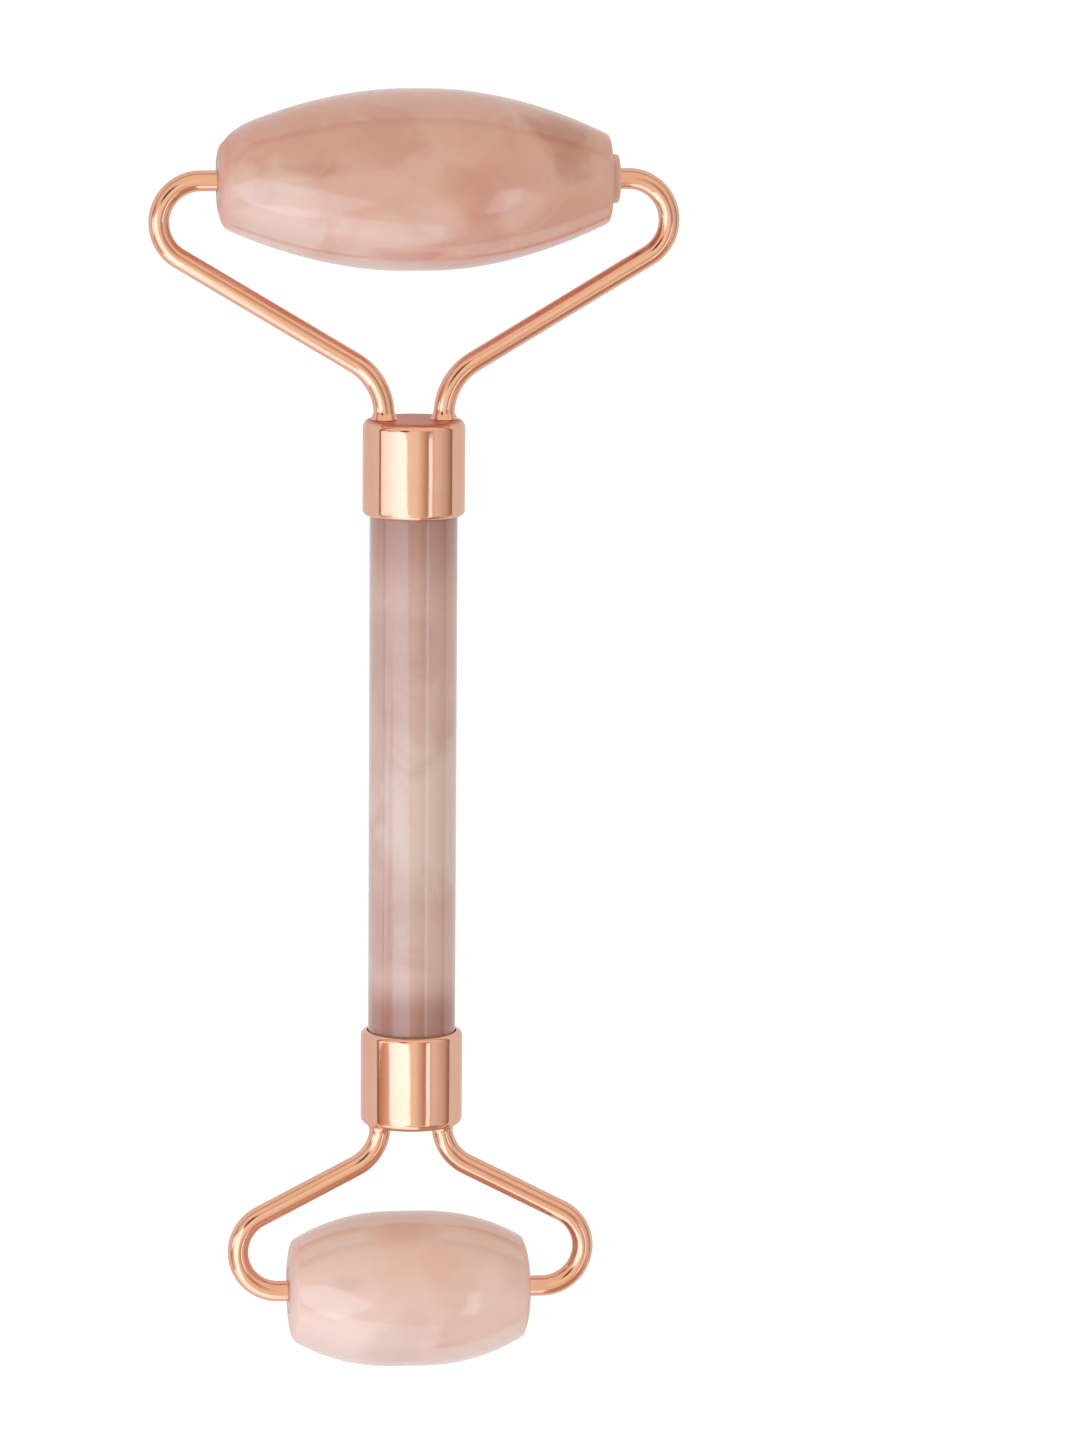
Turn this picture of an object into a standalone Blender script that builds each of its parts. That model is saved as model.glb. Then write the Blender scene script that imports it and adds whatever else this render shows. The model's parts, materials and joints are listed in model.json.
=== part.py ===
"""Double-ended stone face roller, lying on its two rollers as on a table.

Units are metres and +Z is up. +X runs along the rollers' axes and +Y along the handle, towards the
large roller. The origin is in the middle of the footprint, on the surface that carries both rollers.
The large roller has the bigger radius, so the handle slopes down slightly towards the small one.
"""
import math
from dataclasses import dataclass

import bmesh
import bpy
from mathutils import Vector

MM = 0.001

# Handle: a stone rod glued into two metal ferrules.
ROD_RADIUS = 5.0 * MM
ROD_HALF_LENGTH = 35.65 * MM
ROD_CHAMFER = 0.4 * MM
FERRULE_RADIUS = 5.8 * MM
FERRULE_BORE = 5.08 * MM
FERRULE_MOUTH = 29.65 * MM  # distance of the open rim from the handle's middle
FERRULE_END = 40.55 * MM  # distance of the closed face from the handle's middle
FERRULE_FLOOR = 1.6 * MM  # thickness of the closed end
MOUTH_ROUNDING = 0.6 * MM
END_ROUNDING = 0.9 * MM

# Glue plug between the rod's end and the ferrule's floor.
GLUE_RADIUS = 5.0 * MM
GLUE_GAP = 0.1 * MM

# Fork wire, and the holes that its tails stand in.
WIRE_RADIUS = 1.2 * MM
WIRE_CHAMFER = 0.3 * MM
TAIL_END = 36.6 * MM  # distance of a tail's tip from the handle's middle
TAIL_HOLE_RADIUS = 1.25 * MM
TAIL_HOLE_SPARE = 0.2 * MM

# Braze fillet around each arm where it meets its ferrule.
FILLET_FLARE = 0.4 * MM
FILLET_HEIGHT = 1.2 * MM
FILLET_GAP = 0.1 * MM  # clearance over the ferrule's face

# Sleeves pressed into the ends of each roller's bore, which turn on the fork's pins.
BORE_RADIUS = 2.55 * MM
SLEEVE_RADIUS = 2.5 * MM
SLEEVE_BORE = 1.25 * MM
SLEEVE_LENGTH = 8.0 * MM
SLEEVE_HEAD_RADIUS = 2.75 * MM
SLEEVE_HEAD_ROUNDING = 0.25 * MM
PIN_DEPTH = 6.5 * MM  # how far each pin reaches into its roller

STONE_EDGE = 0.5 * MM
STONE_LEVEL_BAND = 1.5 * MM  # half width of the level band around a roller's middle

STONE_SIDES = 48
HANDLE_SIDES = 48
SLEEVE_SIDES = 24
HOLE_SIDES = 24
WIRE_SIDES = 12
STONE_RINGS = 6  # rings on each side of the level band
DOME_RINGS = 3  # rings on each end face
BEND_STEP = math.radians(12.5)
EDGE_STEP = math.radians(24.0)
SMOOTH_BELOW = math.radians(32.0)


@dataclass(frozen=True)
class End:
    """One end of the tool: a roller, the two wire arms that hold it, and their ferrule."""

    name: str
    roller: str
    side: int  # +1 on the +Y end, -1 on the -Y end
    axle: float  # distance of the roller's axis from the handle's middle
    stone_half_length: float
    stone_radius: float
    stone_end_radii: tuple  # left and right
    stone_domes: tuple  # how far the left and right end faces bulge
    stone_shift: float  # the roller's place along its axis
    barrel_power: float  # 2 is a parabola, more keeps the middle fuller
    right_head: float  # how far the right sleeve's head stands proud
    arm_rise: float  # angle between the arm's straight run and the roller's axis
    outer_bend: float
    inner_bend: float
    tail_offset: float
    shoulder: float  # distance of the unrounded inner corner beyond the ferrule


UPPER = End(
    name="upper",
    roller="large",
    side=1,
    axle=67.65 * MM,
    stone_half_length=21.8 * MM,
    stone_radius=10.3 * MM,
    stone_end_radii=(5.4 * MM, 5.0 * MM),
    stone_domes=(0.6 * MM, 0.1 * MM),
    stone_shift=0.15 * MM,
    barrel_power=1.88,
    right_head=0.9 * MM,
    arm_rise=math.radians(31.0),
    outer_bend=4.7 * MM,
    inner_bend=7.0 * MM,
    tail_offset=3.4 * MM,
    shoulder=4.45 * MM,
)
LOWER = End(
    name="lower",
    roller="small",
    side=-1,
    axle=59.95 * MM,
    stone_half_length=13.25 * MM,
    stone_radius=8.95 * MM,
    stone_end_radii=(5.8 * MM, 5.8 * MM),
    stone_domes=(0.4 * MM, 0.7 * MM),
    stone_shift=-0.4 * MM,
    barrel_power=2.2,
    right_head=0.0,
    arm_rise=math.radians(27.3),
    outer_bend=4.65 * MM,
    inner_bend=5.2 * MM,
    tail_offset=3.55 * MM,
    shoulder=3.5 * MM,
)
ENDS = (UPPER, LOWER)

# Finishes: base colour (linear), roughness, metallic.
QUARTZ_ROLLER = ((0.66, 0.41, 0.34), 0.22, 0.0)
QUARTZ_ROD = ((0.60, 0.40, 0.36), 0.25, 0.0)
ROSE_GOLD = ((0.88, 0.50, 0.36), 0.10, 1.0)
NYLON = ((0.78, 0.60, 0.48), 0.45, 0.0)
EPOXY = ((0.74, 0.66, 0.52), 0.35, 0.0)


def clear_scene():
    for old in list(bpy.data.objects):
        bpy.data.objects.remove(old, do_unlink=True)


def add_finish(node, finish):
    """Give a node its own Principled material."""
    colour, roughness, metallic = finish
    material = bpy.data.materials.new(node.name)
    material.use_nodes = True
    shader = material.node_tree.nodes["Principled BSDF"]
    shader.inputs["Base Color"].default_value = (*colour, 1.0)
    shader.inputs["Roughness"].default_value = roughness
    shader.inputs["Metallic"].default_value = metallic
    node.data.materials.append(material)


def add_empty(name, parent=None, location=(0.0, 0.0, 0.0), tilt=0.0):
    empty = bpy.data.objects.new(name, None)
    bpy.context.scene.collection.objects.link(empty)
    empty.parent = parent
    empty.location = location
    empty.rotation_euler = (tilt, 0.0, 0.0)
    return empty


def add_node(name, bm, parent, location=(0.0, 0.0, 0.0), turn=0.0, finish=None):
    """Turn a bmesh into an object, shaded smooth except at its real edges."""
    bmesh.ops.recalc_face_normals(bm, faces=bm.faces)
    mesh = bpy.data.meshes.new(name)
    bm.to_mesh(mesh)
    bm.free()
    mesh.shade_smooth()
    mesh.set_sharp_from_angle(angle=SMOOTH_BELOW)
    node = bpy.data.objects.new(name, mesh)
    bpy.context.scene.collection.objects.link(node)
    node.parent = parent
    node.location = location
    node.rotation_euler = (0.0, 0.0, turn)
    if finish:
        add_finish(node, finish)
    return node


def rounded(corners, radii, step):
    """A polyline with a tangent arc at each inner corner whose radius isn't zero."""
    points = [Vector(corners[0])]
    for before, corner, after, radius in zip(corners, corners[1:], corners[2:], radii):
        before, corner, after = Vector(before), Vector(corner), Vector(after)
        if radius == 0.0:
            points.append(corner)
            continue
        arriving = (corner - before).normalized()
        leaving = (after - corner).normalized()
        turning = arriving.angle(leaving)
        start = corner - arriving * radius * math.tan(turning / 2)
        centre_way = (leaving - arriving * arriving.dot(leaving)).normalized()
        centre = start + centre_way * radius
        steps = math.ceil(turning / step)
        for index in range(steps + 1):
            angle = turning * index / steps
            sideways = centre_way * radius * math.cos(angle)
            points.append(centre - sideways + arriving * radius * math.sin(angle))
    points.append(Vector(corners[-1]))
    return points


def turned(outline, sides, closed):
    """Spin an (x, radius) outline about the X axis, with flats facing up and down."""
    bm = bmesh.new()
    phase = math.pi / sides
    verts = [bm.verts.new((x, r * math.sin(phase), r * math.cos(phase))) for x, r in outline]
    edges = [bm.edges.new(pair) for pair in zip(verts, verts[1:])]
    if closed:
        edges.append(bm.edges.new((verts[-1], verts[0])))
    bmesh.ops.spin(
        bm,
        geom=verts + edges,
        cent=(0.0, 0.0, 0.0),
        axis=(1.0, 0.0, 0.0),
        angle=2 * math.pi,
        steps=sides,
        use_merge=True,
    )
    bmesh.ops.remove_doubles(bm, verts=bm.verts, dist=0.001 * MM)
    return bm


def swept(path, radii, sides):
    """Sweep a circle along a path in the XY plane, with a radius for each point and flat ends."""
    bm = bmesh.new()
    rings = []
    for index, (point, radius) in enumerate(zip(path, radii)):
        along = (path[min(index + 1, len(path) - 1)] - path[max(index - 1, 0)]).normalized()
        across = Vector((-along.y, along.x))
        ring = []
        for number in range(sides):
            angle = 2 * math.pi * number / sides
            flat = point + across * radius * math.cos(angle)
            ring.append(bm.verts.new((flat.x, flat.y, radius * math.sin(angle))))
        rings.append(ring)
    for ring, following in zip(rings, rings[1:]):
        for number in range(sides):
            after = (number + 1) % sides
            bm.faces.new((ring[number], ring[after], following[after], following[number]))
    bm.faces.new(rings[0])
    bm.faces.new(rings[-1])
    return bm


def add_rod(handle):
    """The stone rod that is held between the fingers."""
    shoulder = ROD_HALF_LENGTH - ROD_CHAMFER
    outline = [
        (-ROD_HALF_LENGTH, 0.0),
        (-ROD_HALF_LENGTH, ROD_RADIUS - ROD_CHAMFER),
        (-shoulder, ROD_RADIUS),
        (shoulder, ROD_RADIUS),
        (ROD_HALF_LENGTH, ROD_RADIUS - ROD_CHAMFER),
        (ROD_HALF_LENGTH, 0.0),
    ]
    bm = turned(outline, HANDLE_SIDES, closed=False)
    add_node("handle_rod", bm, handle, turn=math.pi / 2, finish=QUARTZ_ROD)


def add_tail_drill(end, handle):
    """Two round cutters on the arms' tails, from inside the glue plug to beyond the closed face."""
    bottom = TAIL_END - TAIL_HOLE_SPARE
    top = FERRULE_END + FERRULE_FLOOR
    outline = [(bottom, 0.0), (bottom, TAIL_HOLE_RADIUS), (top, TAIL_HOLE_RADIUS), (top, 0.0)]
    bm = turned(outline, HOLE_SIDES, closed=False)
    first = bm.verts[:]
    copy = bmesh.ops.duplicate(bm, geom=bm.verts[:] + bm.edges[:] + bm.faces[:])
    second = [item for item in copy["geom"] if isinstance(item, bmesh.types.BMVert)]
    bmesh.ops.translate(bm, verts=first, vec=(0.0, end.tail_offset, 0.0))
    bmesh.ops.translate(bm, verts=second, vec=(0.0, -end.tail_offset, 0.0))
    drill = add_node(f"{end.name}_tail_drill", bm, handle, turn=end.side * math.pi / 2)
    drill.hide_render = True
    drill.display_type = "WIRE"
    return drill


def drill_holes(node, drill):
    cut = node.modifiers.new("tail_holes", "BOOLEAN")
    cut.operation = "DIFFERENCE"
    cut.solver = "EXACT"
    cut.object = drill


def add_ferrule(end, handle, drill):
    """A metal cup over the rod's end, with two holes for the arms in its closed face."""
    corners = [
        (FERRULE_END - FERRULE_FLOOR, 0.0),
        (FERRULE_END - FERRULE_FLOOR, FERRULE_BORE),
        (FERRULE_MOUTH, FERRULE_BORE),
        (FERRULE_MOUTH, FERRULE_RADIUS),
        (FERRULE_END, FERRULE_RADIUS),
        (FERRULE_END, 0.0),
    ]
    outline = rounded(corners, (0.0, 0.0, MOUTH_ROUNDING, END_ROUNDING), EDGE_STEP)
    bm = turned(outline, HANDLE_SIDES, closed=False)
    turn = end.side * math.pi / 2
    drill_holes(add_node(f"{end.name}_ferrule", bm, handle, turn=turn, finish=ROSE_GOLD), drill)


def add_glue_plug(end, handle, drill):
    """Set adhesive between the rod and the ferrule's floor, around the arms' tails."""
    bottom = ROD_HALF_LENGTH + GLUE_GAP
    top = FERRULE_END - FERRULE_FLOOR - GLUE_GAP
    outline = [(bottom, 0.0), (bottom, GLUE_RADIUS), (top, GLUE_RADIUS), (top, 0.0)]
    bm = turned(outline, HANDLE_SIDES, closed=False)
    turn = end.side * math.pi / 2
    drill_holes(add_node(f"{end.name}_glue_plug", bm, handle, turn=turn, finish=EPOXY), drill)


def arm_path(end, hand):
    """Centrelines outside and inside the ferrule, from the pin to the tail, as (outwards, along the handle).

    hand is +1 for the arm on the right and -1 for its mirror image on the left.
    """
    stone_end = end.stone_half_length + hand * end.stone_shift
    corner = Vector((end.tail_offset, FERRULE_END + end.shoulder))
    far = Vector((corner.x + (end.axle - corner.y) / math.tan(end.arm_rise), end.axle))
    tip = Vector((stone_end - PIN_DEPTH, end.axle))
    seat = Vector((end.tail_offset, FERRULE_END + FILLET_GAP))
    tail = Vector((end.tail_offset, TAIL_END))
    chamfered_tip = tip + Vector((WIRE_CHAMFER, 0.0))
    chamfered_tail = tail + Vector((0.0, WIRE_CHAMFER))
    corners = [tip, chamfered_tip, far, corner, seat]
    points = rounded(corners, (0.0, end.outer_bend, end.inner_bend), BEND_STEP)
    return points, [seat, chamfered_tail, tail]


def fillet_radius(point):
    """The arm's radius at a point outside the ferrule, with the braze fillet at its foot."""
    height = (point.y - FERRULE_END) / FILLET_HEIGHT
    return WIRE_RADIUS + FILLET_FLARE * max(1.0 - height, 0.0) ** 2


def add_arm(end, hand, handle):
    """One bent wire arm of a fork. Its pin carries the roller and its tail stands in the ferrule."""
    outside, inside = arm_path(end, hand)
    radii = [fillet_radius(point) for point in outside] + [WIRE_RADIUS] * len(inside)
    radii[0] = radii[-1] = WIRE_RADIUS - WIRE_CHAMFER
    path = [Vector((hand * point.x, end.side * point.y)) for point in outside + inside]
    name = f"{end.name}_{'right' if hand > 0 else 'left'}_arm"
    add_node(name, swept(path, radii, WIRE_SIDES), handle, finish=ROSE_GOLD)


def barrel_radius(end, x):
    """The roller's radius at a distance x from its middle."""
    end_radius = end.stone_end_radii[x > 0.0]
    beyond = max(abs(x) - STONE_LEVEL_BAND, 0.0)
    reach = beyond / (end.stone_half_length - STONE_LEVEL_BAND)
    return end.stone_radius - (end.stone_radius - end_radius) * reach**end.barrel_power


def end_face(end, hand):
    """Outline of a roller's domed end face, from the bore to just inside its rim."""
    dome = end.stone_domes[hand > 0]
    rim = end.stone_end_radii[hand > 0]
    radii = [BORE_RADIUS + (rim - BORE_RADIUS) * index / DOME_RINGS for index in range(DOME_RINGS)]
    drops = [dome * ((r - BORE_RADIUS) / (rim - BORE_RADIUS)) ** 2 for r in radii]
    return [(hand * (end.stone_half_length + dome - drop), r) for r, drop in zip(radii, drops)]


def add_stone(end, axle):
    """A barrel-shaped roller with a bore from end to end."""
    half = end.stone_half_length
    pitch = (half - STONE_LEVEL_BAND) / STONE_RINGS
    stations = [STONE_LEVEL_BAND + pitch * index for index in range(STONE_RINGS)]
    right_half = [(x, barrel_radius(end, x)) for x in stations]
    left_half = [(-x, r) for x, r in reversed(right_half)]
    left_face = end_face(end, -1)
    right_face = end_face(end, 1)
    left_rim, right_rim = end.stone_end_radii
    corners = left_face + [(-half, left_rim)] + left_half + right_half + [(half, right_rim)]
    corners += reversed(right_face)
    radii = [0.0] * (len(corners) - 2)
    radii[len(left_face) - 1] = STONE_EDGE
    radii[-len(right_face)] = STONE_EDGE
    outline = rounded(corners, radii, EDGE_STEP)
    bm = turned(outline, STONE_SIDES, closed=True)
    add_node(f"{end.roller}_roller", bm, axle, location=(end.stone_shift, 0.0, 0.0), finish=QUARTZ_ROLLER)


def add_sleeve(end, hand, axle):
    """A nylon sleeve in one end of the bore, flush with the stone unless it has a proud head."""
    head = end.right_head if hand > 0 else 0.0
    face = head
    corners = [(-SLEEVE_LENGTH, SLEEVE_BORE), (-SLEEVE_LENGTH, SLEEVE_RADIUS)]
    radii = [0.0]
    if head:
        under_head = GLUE_GAP
        face = under_head + head
        corners += [(under_head, SLEEVE_RADIUS), (under_head, SLEEVE_HEAD_RADIUS)]
        corners += [(face, SLEEVE_HEAD_RADIUS), (face, SLEEVE_BORE)]
        radii += [0.0, 0.0, SLEEVE_HEAD_ROUNDING]
    else:
        corners += [(face, SLEEVE_RADIUS), (face, SLEEVE_BORE)]
        radii += [0.0]
    outline = rounded(corners, radii, EDGE_STEP)
    bm = turned(outline, SLEEVE_SIDES, closed=True)
    stone_face = end.stone_half_length + end.stone_domes[hand > 0]
    place = (end.stone_shift + hand * stone_face, 0.0, 0.0)
    name = f"{end.roller}_{'right' if hand > 0 else 'left'}_bush"
    add_node(name, bm, axle, location=place, turn=0.0 if hand > 0 else math.pi, finish=NYLON)


def resting_place():
    """Tilt, height and Y place of the handle's middle, with both rollers on the surface z = 0."""
    flat = math.cos(math.pi / STONE_SIDES)
    upper_reach = UPPER.stone_radius * flat
    lower_reach = LOWER.stone_radius * flat
    tilt = math.asin((upper_reach - lower_reach) / (UPPER.axle + LOWER.axle))
    height = lower_reach + LOWER.axle * math.sin(tilt)
    furthest = UPPER.axle * math.cos(tilt) + upper_reach
    nearest = -LOWER.axle * math.cos(tilt) - lower_reach
    return tilt, height, -(furthest + nearest) / 2


def build():
    clear_scene()
    tilt, height, middle_y = resting_place()
    handle = add_empty("handle_middle", location=(0.0, middle_y, height), tilt=tilt)
    add_rod(handle)
    for end in ENDS:
        drill = add_tail_drill(end, handle)
        add_ferrule(end, handle, drill)
        add_glue_plug(end, handle, drill)
        axle_place = (0.0, end.side * end.axle, 0.0)
        axle = add_empty(f"{end.roller}_roller_axle", parent=handle, location=axle_place, tilt=-tilt)
        add_stone(end, axle)
        for hand in (-1, 1):
            add_arm(end, hand, handle)
            add_sleeve(end, hand, axle)


build()
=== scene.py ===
"""Looks of the double-ended stone face roller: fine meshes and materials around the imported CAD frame."""
import json
import math

import bmesh
import bpy
from mathutils import Matrix, Vector, noise


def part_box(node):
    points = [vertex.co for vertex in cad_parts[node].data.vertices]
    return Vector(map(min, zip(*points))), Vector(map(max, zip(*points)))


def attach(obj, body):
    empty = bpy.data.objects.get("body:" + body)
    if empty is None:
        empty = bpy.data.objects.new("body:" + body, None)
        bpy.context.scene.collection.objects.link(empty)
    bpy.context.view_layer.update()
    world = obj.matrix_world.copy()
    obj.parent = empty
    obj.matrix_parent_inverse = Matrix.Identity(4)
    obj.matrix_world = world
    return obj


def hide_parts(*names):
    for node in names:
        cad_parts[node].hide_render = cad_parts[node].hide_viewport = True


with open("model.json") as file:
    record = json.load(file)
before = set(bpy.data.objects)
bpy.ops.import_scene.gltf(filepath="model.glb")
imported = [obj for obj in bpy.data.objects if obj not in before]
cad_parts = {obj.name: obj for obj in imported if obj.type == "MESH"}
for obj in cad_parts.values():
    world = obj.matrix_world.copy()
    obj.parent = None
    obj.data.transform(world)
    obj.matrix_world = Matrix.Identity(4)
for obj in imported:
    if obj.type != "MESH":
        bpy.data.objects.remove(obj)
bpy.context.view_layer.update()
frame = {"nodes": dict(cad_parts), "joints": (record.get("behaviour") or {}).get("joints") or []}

MM = 0.001

# Sizes that the CAD model also has. Places come from the frame's joints and node boxes.
ROD_RADIUS = 5.0 * MM
FERRULE_RADIUS = 5.8 * MM
FERRULE_BORE = 5.08 * MM
FERRULE_FLOOR = 1.6 * MM
WIRE_RADIUS = 1.2 * MM
HOLE_RADIUS = 1.25 * MM
TAIL_LENGTH = 3.95 * MM
FILLET_FLARE = 0.4 * MM
FILLET_HEIGHT = 1.2 * MM
BORE_RADIUS = 2.55 * MM
SLEEVE_RADIUS = 2.5 * MM
SLEEVE_BORE = 1.25 * MM
SLEEVE_HEAD_RADIUS = 2.75 * MM
SLEEVE_LENGTH = 8.0 * MM
PIN_DEPTH = 6.5 * MM

# Small amounts that only the fine pieces have: the gap under a fillet, how deep a flush sleeve sits, and what
# polishing takes off a wire's radius.
FILLET_GAP = 0.03 * MM
SLEEVE_RECESS = 0.02 * MM
WIRE_POLISH = 0.01 * MM

# Each end of the handle. side is 1 towards the large roller and -1 towards the small one.
# Its two arms: rise is the slope of their straight stretch, outer_bend and inner_bend are the radii of their
# bends, tail_offset is how far they stand from the handle's middle line, and shoulder is how far over the
# ferrule's face the inner bend's corner is.
# Its stone, where a pair is left, then right: end_radii of its rims, domes for how far its end faces bulge,
# power for how its barrel curves, edges for how round its rims are, and wear for what is off its left rim.
ENDS = {
    "upper": {
        "roller": "large",
        "side": 1,
        "rise": math.radians(31.0),
        "outer_bend": 4.7 * MM,
        "inner_bend": 7.0 * MM,
        "tail_offset": 3.4 * MM,
        "shoulder": 4.45 * MM,
        "end_radii": (5.4 * MM, 5.0 * MM),
        "domes": (0.6 * MM, 0.1 * MM),
        "power": 1.88,
        "edges": (1.8 * MM, 0.7 * MM),
        "wear": 0.9 * MM,
    },
    "lower": {
        "roller": "small",
        "side": -1,
        "rise": math.radians(27.3),
        "outer_bend": 4.65 * MM,
        "inner_bend": 5.2 * MM,
        "tail_offset": 3.55 * MM,
        "shoulder": 3.5 * MM,
        "end_radii": (5.8 * MM, 5.8 * MM),
        "domes": (0.4 * MM, 0.7 * MM),
        "power": 2.2,
        "edges": (1.3 * MM, 0.9 * MM),
        "wear": 0.0,
    },
}


# ---------------------------------------------------------------- places from the frame

def axle_place(roller):
    """The middle of a roller's axle, from its joint."""
    joint = next(j for j in frame["joints"] if j["child"] == f"{roller}_roller")
    return Vector(joint["pos_m"])


def handle_matrix():
    """The handle's own frame: its middle, with Y along it to the large roller and X along the axles."""
    low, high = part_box("handle_rod")
    along = (axle_place("large") - axle_place("small")).normalized()
    right = Vector((1.0, 0.0, 0.0))
    out = right.cross(along)
    turn = Matrix((right, along, out)).transposed().to_4x4()
    return Matrix.Translation((low + high) / 2) @ turn


HANDLE = handle_matrix()
TO_HANDLE = HANDLE.inverted()


def handle_reach(node, side):
    """Nearest and furthest distance of a handle node from the handle's middle, along the handle."""
    ys = [(TO_HANDLE @ v.co).y * side for v in frame["nodes"][node].data.vertices]
    return min(ys), max(ys)


# ---------------------------------------------------------------- mesh helpers

def rounded(corners, radii, step):
    """A polyline with a tangent arc at each inner corner whose radius isn't zero."""
    points = [Vector(corners[0])]
    for before, corner, after, radius in zip(corners, corners[1:], corners[2:], radii):
        before, corner, after = Vector(before), Vector(corner), Vector(after)
        if radius == 0.0:
            points.append(corner)
            continue
        arriving = (corner - before).normalized()
        leaving = (after - corner).normalized()
        turning = arriving.angle(leaving)
        start = corner - arriving * radius * math.tan(turning / 2)
        centre_way = (leaving - arriving * arriving.dot(leaving)).normalized()
        centre = start + centre_way * radius
        steps = math.ceil(turning / step)
        for index in range(steps + 1):
            angle = turning * index / steps
            inward = centre_way * radius * math.cos(angle)
            points.append(centre - inward + arriving * radius * math.sin(angle))
    points.append(Vector(corners[-1]))
    return points


def spaced(points, pitch):
    """The same polyline with points added so that none of its steps is longer than the pitch."""
    dense = [points[0]]
    for before, after in zip(points, points[1:]):
        count = max(1, math.ceil((after - before).length / pitch))
        dense += [before.lerp(after, (index + 1) / count) for index in range(count)]
    return dense


def skin(rings, closed_loop, capped):
    """Join equal rings of points into one mesh. A ring is a list of Vectors, and may be a single point."""
    bm = bmesh.new()
    made = [[bm.verts.new(p) for p in ring] for ring in rings]
    pairs = list(zip(made, made[1:]))
    if closed_loop:
        pairs.append((made[-1], made[0]))
    for ring, following in pairs:
        count = max(len(ring), len(following))
        for index in range(count):
            after = (index + 1) % count
            if len(ring) == 1:
                bm.faces.new((ring[0], following[after], following[index]))
            elif len(following) == 1:
                bm.faces.new((ring[index], ring[after], following[0]))
            else:
                bm.faces.new((ring[index], ring[after], following[after], following[index]))
    if capped:
        bm.faces.new(made[0])
        bm.faces.new(made[-1])
    bmesh.ops.recalc_face_normals(bm, faces=bm.faces)
    return bm


def turned(outline, sides, closed, shift=lambda x, radius, angle: 0.0):
    """Turn an (x, radius) outline about the X axis. shift gives each point's own change of radius."""
    rings = []
    for x, radius in outline:
        if radius < ON_AXIS:
            rings.append([Vector((x, 0.0, 0.0))])
            continue
        ring = []
        for index in range(sides):
            angle = 2 * math.pi * index / sides
            r = radius + shift(x, radius, angle)
            ring.append(Vector((x, r * math.cos(angle), r * math.sin(angle))))
        rings.append(ring)
    return skin(rings, closed, False)


def add_object(name, bm):
    """A mesh object in the scene, made from a bmesh that is no longer needed."""
    mesh = bpy.data.meshes.new(name)
    bm.to_mesh(mesh)
    bm.free()
    made = bpy.data.objects.new(name, mesh)
    bpy.context.scene.collection.objects.link(made)
    return made


def piece(name, bm, matrix, body, node, material):
    """A smooth visible piece that rides on a body and stands for a CAD node."""
    made = add_object(name, bm)
    made.data.shade_smooth()
    made.data.set_sharp_from_angle(angle=SHARP_ANGLE)
    made.matrix_world = matrix
    made.data.materials.append(material)
    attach(made, body)
    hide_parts(node)
    return made


# ---------------------------------------------------------------- material helpers

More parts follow.
